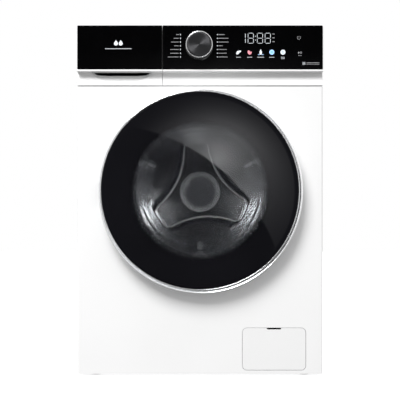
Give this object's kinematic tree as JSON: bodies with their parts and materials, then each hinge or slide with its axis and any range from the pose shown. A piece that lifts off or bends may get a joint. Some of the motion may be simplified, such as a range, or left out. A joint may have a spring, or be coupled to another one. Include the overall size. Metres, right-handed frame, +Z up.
{
  "type": "front load washing machine",
  "caption": "Free-standing front loading washing machine with a wide round glass door, black control panel, detergent drawer, programme knob and filter hatch.",
  "frame": {"origin": "centre of the footprint of the whole object, on the floor under the feet", "axes": "+Z up, front with the door faces -Y, +X to the right seen from the front"},
  "size_m": [0.595, 0.615, 0.85],
  "materials": {
    "white_paint": "smooth satin enamel",
    "white_plastic": "satin moulded ABS",
    "black_gloss": "piano black",
    "smoked_glass": "dark tinted, glossy",
    "clear_glass": "clear pressed glass",
    "bright_trim": "polished",
    "spun_metal": "spun, dark",
    "drum_steel": "stainless, satin",
    "paddle_plastic": "moulded, light grey",
    "cast_alloy": "cast",
    "galvanised_sheet": "galvanised steel",
    "steel": "machined or zinc plated",
    "tub_plastic": "moulded polypropylene",
    "tray_plastic": "moulded polypropylene",
    "grey_rubber": "matte grey",
    "black_rubber": "matte black",
    "dark_plastic": "moulded, black",
    "counterweight": "rough cast",
    "circuit_board": "green laminate"
  },
  "bodies": {
    "cabinet": {"front_panel": "white_paint", "left_side_panel": "white_paint", "right_side_panel": "white_paint", "rear_panel": "galvanised_sheet", "rear_access_cover": "galvanised_sheet", "base_tray": "galvanised_sheet", "top_cover": "white_plastic", "control_housing": "white_plastic", "control_fascia": "black_gloss", "control_board": "circuit_board", "dispenser_housing": "tray_plastic", "inlet_valve": "white_plastic", "cable_gland": "dark_plastic", "drain_hose": "grey_rubber", "drain_pump": "dark_plastic", "door_lock": "dark_plastic", "hinge_bracket": "steel", "hinge_pin": "steel", "door_gasket": "grey_rubber", "spring_left": "steel", "spring_right": "steel", "damper_rod_left": "steel", "damper_rod_right": "steel", "fill_hose": "grey_rubber", "sump_hose": "grey_rubber"},
    "tub": {"tub_front": "tub_plastic", "tub_rear": "tub_plastic", "counterweight_front": "counterweight", "counterweight_top": "counterweight", "heater_element": "steel", "bearing_front": "steel", "bearing_rear": "steel", "motor_housing": "cast_alloy", "drive_belt": "black_rubber", "damper_tube_left": "dark_plastic", "damper_tube_right": "dark_plastic"},
    "drum": {"drum_shell": "drum_steel", "drum_paddle_1": "paddle_plastic", "drum_paddle_2": "paddle_plastic", "drum_paddle_3": "paddle_plastic", "drum_spider": "cast_alloy", "drum_pulley": "cast_alloy"},
    "motor_rotor": {"motor_pulley": "steel"},
    "door": {"door_trim_ring": "bright_trim", "door_outer_glass": "smoked_glass", "door_bowl": "clear_glass", "door_inner_frame": "white_plastic", "door_hinge_arm": "steel"},
    "latch": {"latch_hook": "steel"},
    "drawer": {"drawer_front": "white_plastic", "drawer_fascia": "black_gloss", "drawer_tray": "tray_plastic"},
    "knob": {"programme_knob": "bright_trim", "knob_cap": "spun_metal"},
    "hatch": {"filter_hatch": "white_plastic"},
    "filter": {"pump_filter": "dark_plastic"},
    "foot_fl": {"foot_front_left": "black_rubber"},
    "foot_fr": {"foot_front_right": "black_rubber"},
    "foot_rl": {"foot_rear_left": "black_rubber"},
    "foot_rr": {"foot_rear_right": "black_rubber"}
  },
  "joints": [
    {"name": "tub_float", "type": "slide", "parent": "cabinet", "child": "tub", "axis": [0, 0, 1], "range_m": [-0.01, 0.01], "stiffness_N_per_m": 14000, "springref_m": 0.0302, "deforming": ["spring_left", "spring_right", "fill_hose", "sump_hose", "door_gasket"]},
    {"name": "drum_spin", "type": "hinge", "parent": "tub", "child": "drum", "pos_m": [0, 0.1825, 0.451], "axis": [0, 1, 0], "continuous": true},
    {"name": "motor_spin", "type": "hinge", "parent": "tub", "child": "motor_rotor", "pos_m": [0, 0.2325, 0.119], "axis": [0, 1, 0], "continuous": true},
    {"name": "door_hinge", "type": "hinge", "parent": "cabinet", "child": "door", "pos_m": [-0.229, -0.2885, 0.451], "axis": [0, 0, -1], "range_deg": [0, 135]},
    {"name": "latch_pivot", "type": "hinge", "parent": "door", "child": "latch", "pos_m": [0.2205, -0.2835, 0.451], "axis": [0, 0, 1], "range_deg": [-6, 6], "stiffness_Nm_per_rad": 0.4},
    {"name": "drawer_slide", "type": "slide", "parent": "cabinet", "child": "drawer", "axis": [0, -1, 0], "range_m": [0, 0.2]},
    {"name": "knob_turn", "type": "hinge", "parent": "cabinet", "child": "knob", "pos_m": [-0.0019, -0.2975, 0.8], "axis": [0, 1, 0], "continuous": true},
    {"name": "hatch_hinge", "type": "hinge", "parent": "cabinet", "child": "hatch", "pos_m": [0.1796, -0.2675, 0.0166], "axis": [1, 0, 0], "range_deg": [0, 90]},
    {"name": "filter_turn", "type": "hinge", "parent": "cabinet", "child": "filter", "pos_m": [0.1796, -0.2175, 0.062], "axis": [0, 1, 0], "range_deg": [0, 90]},
    {"name": "foot_fl_turn", "type": "hinge", "parent": "cabinet", "child": "foot_fl", "pos_m": [-0.255, -0.2175, 0.02], "axis": [0, 0, 1], "continuous": true},
    {"name": "foot_fr_turn", "type": "hinge", "parent": "cabinet", "child": "foot_fr", "pos_m": [0.255, -0.2175, 0.02], "axis": [0, 0, 1], "continuous": true},
    {"name": "foot_rl_turn", "type": "hinge", "parent": "cabinet", "child": "foot_rl", "pos_m": [-0.255, 0.2425, 0.02], "axis": [0, 0, 1], "continuous": true},
    {"name": "foot_rr_turn", "type": "hinge", "parent": "cabinet", "child": "foot_rr", "pos_m": [0.255, 0.2425, 0.02], "axis": [0, 0, 1], "continuous": true}
  ],
  "couplings": [
    {"joint": "motor_spin", "follows": "drum_spin", "ratio": 10.27}
  ]
}
